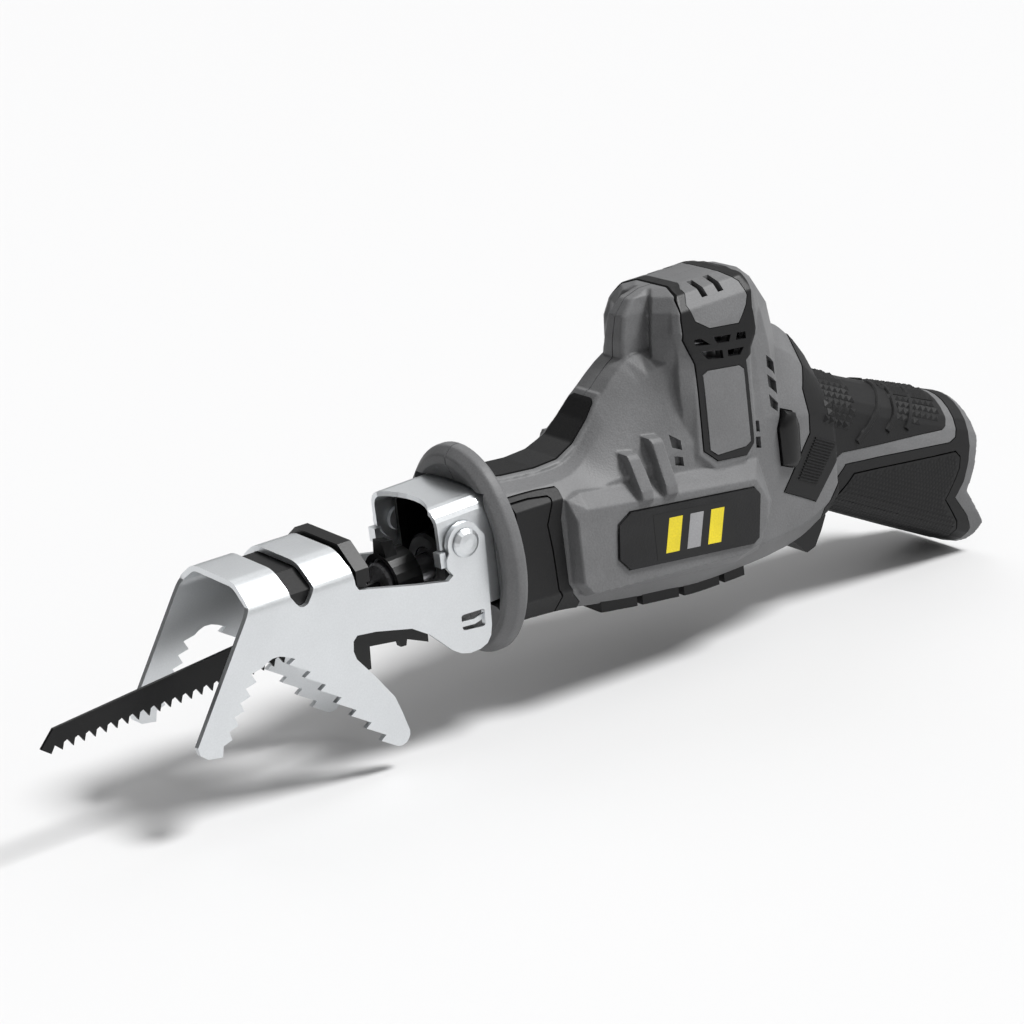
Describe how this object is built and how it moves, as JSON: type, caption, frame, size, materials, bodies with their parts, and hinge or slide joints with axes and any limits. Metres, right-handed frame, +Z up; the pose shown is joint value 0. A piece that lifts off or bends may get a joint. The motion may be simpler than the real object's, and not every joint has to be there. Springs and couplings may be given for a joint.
{
  "type": "reciprocating saw",
  "caption": "Cordless reciprocating saw with a folded-sheet toothed branch jaw, upright motor tower, sloping rubberised handle and open battery bay.",
  "frame": {"origin": "centre of the bounding box at floor level, under the resting tool", "axes": "+X from the blade tip towards the battery end, -Y the tool's left side (the side seen first), +Z up; the tool rests on the rear tips of its jaw and on the heel of its handle"},
  "size_m": [0.3982, 0.061, 0.1367],
  "materials": {
    "shell": "fine-grained moulded plastic",
    "black_plastic": "smooth dark plastic",
    "rubber": "soft overmoulded grip rubber",
    "zinc": "zinc-plated pressed sheet",
    "blade_steel": "blackened blade steel",
    "steel": "bright machined steel",
    "bronze": "sintered bronze and contact metal"
  },
  "bodies": {
    "housing": {"bumper_strip": "rubber", "contact_left": "bronze", "contact_right": "bronze", "front_bush": "bronze", "gear_bearing": "steel", "gear_case_nose": "black_plastic", "grip_panel_left": "rubber", "grip_panel_right": "rubber", "grip_saddle": "rubber", "housing_left": "shell", "housing_right": "shell", "housing_screw_1": "steel", "housing_screw_2": "steel", "housing_screw_3": "steel", "housing_screw_4": "steel", "housing_screw_5": "steel", "housing_screw_6": "steel", "label_panel_left": "black_plastic", "label_panel_right": "black_plastic", "motor_can": "steel", "motor_end_cap": "black_plastic", "motor_plate": "black_plastic", "neck_grip_left": "rubber", "neck_grip_right": "rubber", "rear_bush": "bronze", "rivet_left": "zinc", "rivet_right": "zinc", "shoe_bracket": "zinc", "shoe_lining": "black_plastic", "switch_body": "black_plastic", "terminal_block": "black_plastic", "thumb_pad": "rubber", "trigger_pin": "steel", "trigger_spring": "steel", "vent_frame_left": "black_plastic", "vent_frame_right": "black_plastic", "wiper_seal": "rubber"},
    "carriage": {"blade": "blade_steel", "plunger": "steel", "yoke": "steel", "clamp_spring": "steel"},
    "collar": {"clamp_collar": "black_plastic"},
    "crank": {"crank_gear": "steel", "crank_pin": "steel", "gear_axle": "steel"},
    "rotor": {"motor_rotor": "steel", "motor_shaft": "steel", "motor_pinion": "steel", "motor_fan": "black_plastic"},
    "shoe": {"jaw": "zinc", "jaw_liner": "black_plastic"},
    "trigger": {"trigger": "black_plastic"},
    "lock": {"lock_button": "black_plastic"}
  },
  "joints": [
    {"name": "crank_spin", "type": "hinge", "parent": "housing", "child": "crank", "pos_m": [0.05138, 0, 0.06285], "axis": [-0.0479, 0, 0.9989], "range_deg": [-90, 90]},
    {"name": "blade_stroke", "type": "slide", "parent": "housing", "child": "carriage", "axis": [-0.9989, 0, -0.0479], "range_m": [-0.0075, 0.0075]},
    {"name": "motor_spin", "type": "hinge", "parent": "housing", "child": "rotor", "pos_m": [0.07335, 0, 0.0639], "axis": [-0.0479, 0, 0.9989], "range_deg": [-428, 428]},
    {"name": "clamp_twist", "type": "hinge", "parent": "carriage", "child": "collar", "pos_m": [-0.06099, 0, 0.05746], "axis": [0.9989, 0, 0.0479], "range_deg": [0, 60], "stiffness_Nm_per_rad": 0.02},
    {"name": "shoe_swing", "type": "hinge", "parent": "housing", "child": "shoe", "pos_m": [-0.04595, 0, 0.07159], "axis": [0, -1, 0], "range_deg": [0, 6]},
    {"name": "trigger_squeeze", "type": "hinge", "parent": "housing", "child": "trigger", "pos_m": [0.11006, 0, 0.03963], "axis": [0, -1, 0], "range_deg": [0, 12], "stiffness_Nm_per_rad": 0.3, "springref_deg": -5.73},
    {"name": "lock_push", "type": "slide", "parent": "housing", "child": "lock", "axis": [0, 1, 0], "range_m": [-0.0025, 0.0025], "stiffness_N_per_m": 400}
  ],
  "couplings": [
    {"joint": "blade_stroke", "follows": "crank_spin", "m_per_rad": 0.0047746},
    {"joint": "motor_spin", "follows": "crank_spin", "ratio": -4.75}
  ]
}
